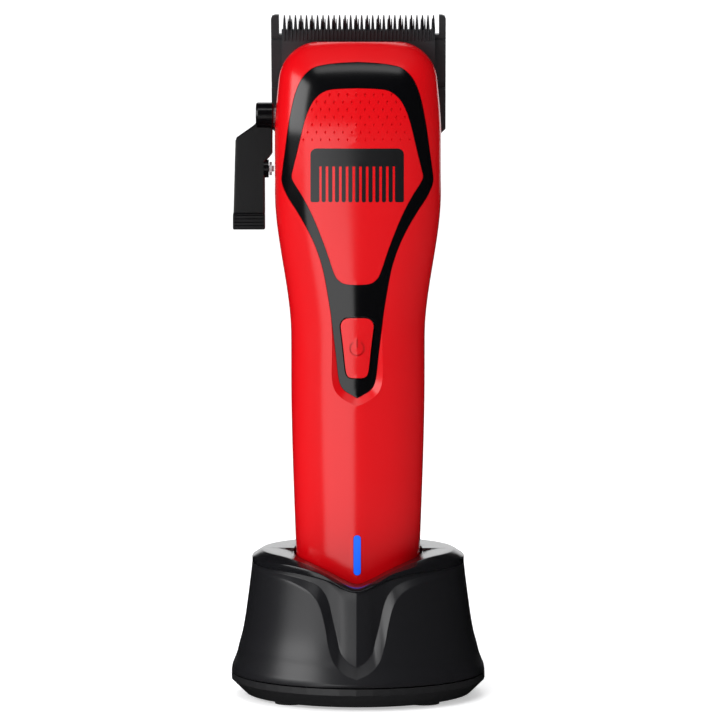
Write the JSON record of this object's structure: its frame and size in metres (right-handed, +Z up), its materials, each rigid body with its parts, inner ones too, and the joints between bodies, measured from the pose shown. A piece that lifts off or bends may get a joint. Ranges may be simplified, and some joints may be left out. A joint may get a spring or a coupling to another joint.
{
  "type": "hair clipper with charging stand",
  "caption": "Cordless hair clipper with a wide toothed blade, side taper lever and lit status bar, standing upright in a round charging stand.",
  "frame": {"origin": "on the table under the middle of the stand", "axes": "+Z up along the clipper, -Y out of the face with the power button, +X to the right of that face; the taper lever is on the -X side"},
  "size_m": [0.0666, 0.0666, 0.1776],
  "materials": {
    "red_shell": "smooth bright red",
    "gloss_black": "gloss",
    "satin_black": "satin",
    "blade_steel": "black coated",
    "steel": "bright",
    "black_metal": "black",
    "nylon": "moulded",
    "brass": "plated",
    "board": "board",
    "cell_wrap": "shrink wrap",
    "light": "lit blue",
    "rubber": "matt"
  },
  "bodies": {
    "stand": {"stand_shell": "satin_black", "stand_cradle": "gloss_black", "stand_insert": "gloss_black", "stand_base": "satin_black", "stand_foot_front_left": "rubber", "stand_foot_front_right": "rubber", "stand_foot_rear_left": "rubber", "stand_foot_rear_right": "rubber", "base_screw_front_left": "steel", "base_screw_front_right": "steel", "base_screw_rear_left": "steel", "base_screw_rear_right": "steel", "ballast_ring": "steel", "stand_board": "board", "contact_barrel_left": "brass", "contact_barrel_right": "brass", "power_inlet": "steel"},
    "contact_left": {"contact_pin_left": "brass"},
    "contact_right": {"contact_pin_right": "brass"},
    "clipper": {"front_shell": "red_shell", "rear_shell": "red_shell", "face_trim": "gloss_black", "face_panel": "red_shell", "status_light": "light", "housing_screw_grip_left": "steel", "housing_screw_grip_right": "steel", "housing_screw_head_left": "steel", "housing_screw_head_right": "steel", "end_cap": "satin_black", "charge_contact_left": "brass", "charge_contact_right": "brass", "charge_port": "steel", "battery_cell": "cell_wrap", "battery_tray": "nylon", "main_board": "board", "power_switch": "nylon", "indicator_led": "light", "motor_can": "steel", "motor_bush": "brass", "motor_bracket": "nylon", "arm_pivot_pin": "steel", "fixed_blade": "blade_steel", "blade_seat": "black_metal", "blade_screw_left": "steel", "blade_screw_right": "steel"},
    "button": {"power_button": "red_shell"},
    "rotor": {"motor_rotor": "steel", "eccentric_cam": "brass"},
    "arm": {"drive_arm": "nylon"},
    "carriage": {"cutter_guide": "nylon", "tension_spring": "steel"},
    "cutter": {"cutter_blade": "blade_steel"},
    "lever": {"taper_lever": "black_metal", "lever_shaft": "steel", "lever_screw": "steel", "plunger_collar": "steel"},
    "plunger": {"plunger_pin": "steel"}
  },
  "joints": [
    {"name": "clipper_lift", "type": "slide", "parent": "stand", "child": "clipper", "axis": [0, 0, 1], "range_m": [0, 0.045]},
    {"name": "contact_left_press", "type": "slide", "parent": "stand", "child": "contact_left", "axis": [0, 0, -1], "range_m": [0, 0.001], "stiffness_N_per_m": 300},
    {"name": "contact_right_press", "type": "slide", "parent": "stand", "child": "contact_right", "axis": [0, 0, -1], "range_m": [0, 0.001], "stiffness_N_per_m": 300},
    {"name": "button_press", "type": "slide", "parent": "clipper", "child": "button", "axis": [0, 1, 0], "range_m": [0, 0.0008], "stiffness_N_per_m": 400},
    {"name": "lever_swing", "type": "hinge", "parent": "clipper", "child": "lever", "pos_m": [-0.0232, 0.002, 0.1514], "axis": [-1, 0, 0], "range_deg": [0, 36]},
    {"name": "plunger_press", "type": "slide", "parent": "lever", "child": "plunger", "axis": [-1, 0, 0], "range_m": [0, 0.0004], "stiffness_N_per_m": 500},
    {"name": "cutter_retract", "type": "slide", "parent": "clipper", "child": "carriage", "axis": [0, 0.2419, -0.9703], "range_m": [0, 0.0016]},
    {"name": "cutter_stroke", "type": "slide", "parent": "carriage", "child": "cutter", "axis": [1, 0, 0], "range_m": [-0.00118, 0.00118]},
    {"name": "arm_rock", "type": "hinge", "parent": "clipper", "child": "arm", "pos_m": [0, 0.0025, 0.141], "axis": [0, 1, 0], "range_deg": [-3.13, 3.13]},
    {"name": "motor_spin", "type": "hinge", "parent": "clipper", "child": "rotor", "pos_m": [0, 0, 0.118], "axis": [0, 0, 1], "continuous": true}
  ],
  "couplings": [
    {"joint": "cutter_retract", "follows": "lever_swing", "m_per_rad": 0.0025067},
    {"joint": "cutter_stroke", "follows": "arm_rock", "m_per_rad": 0.0215}
  ]
}
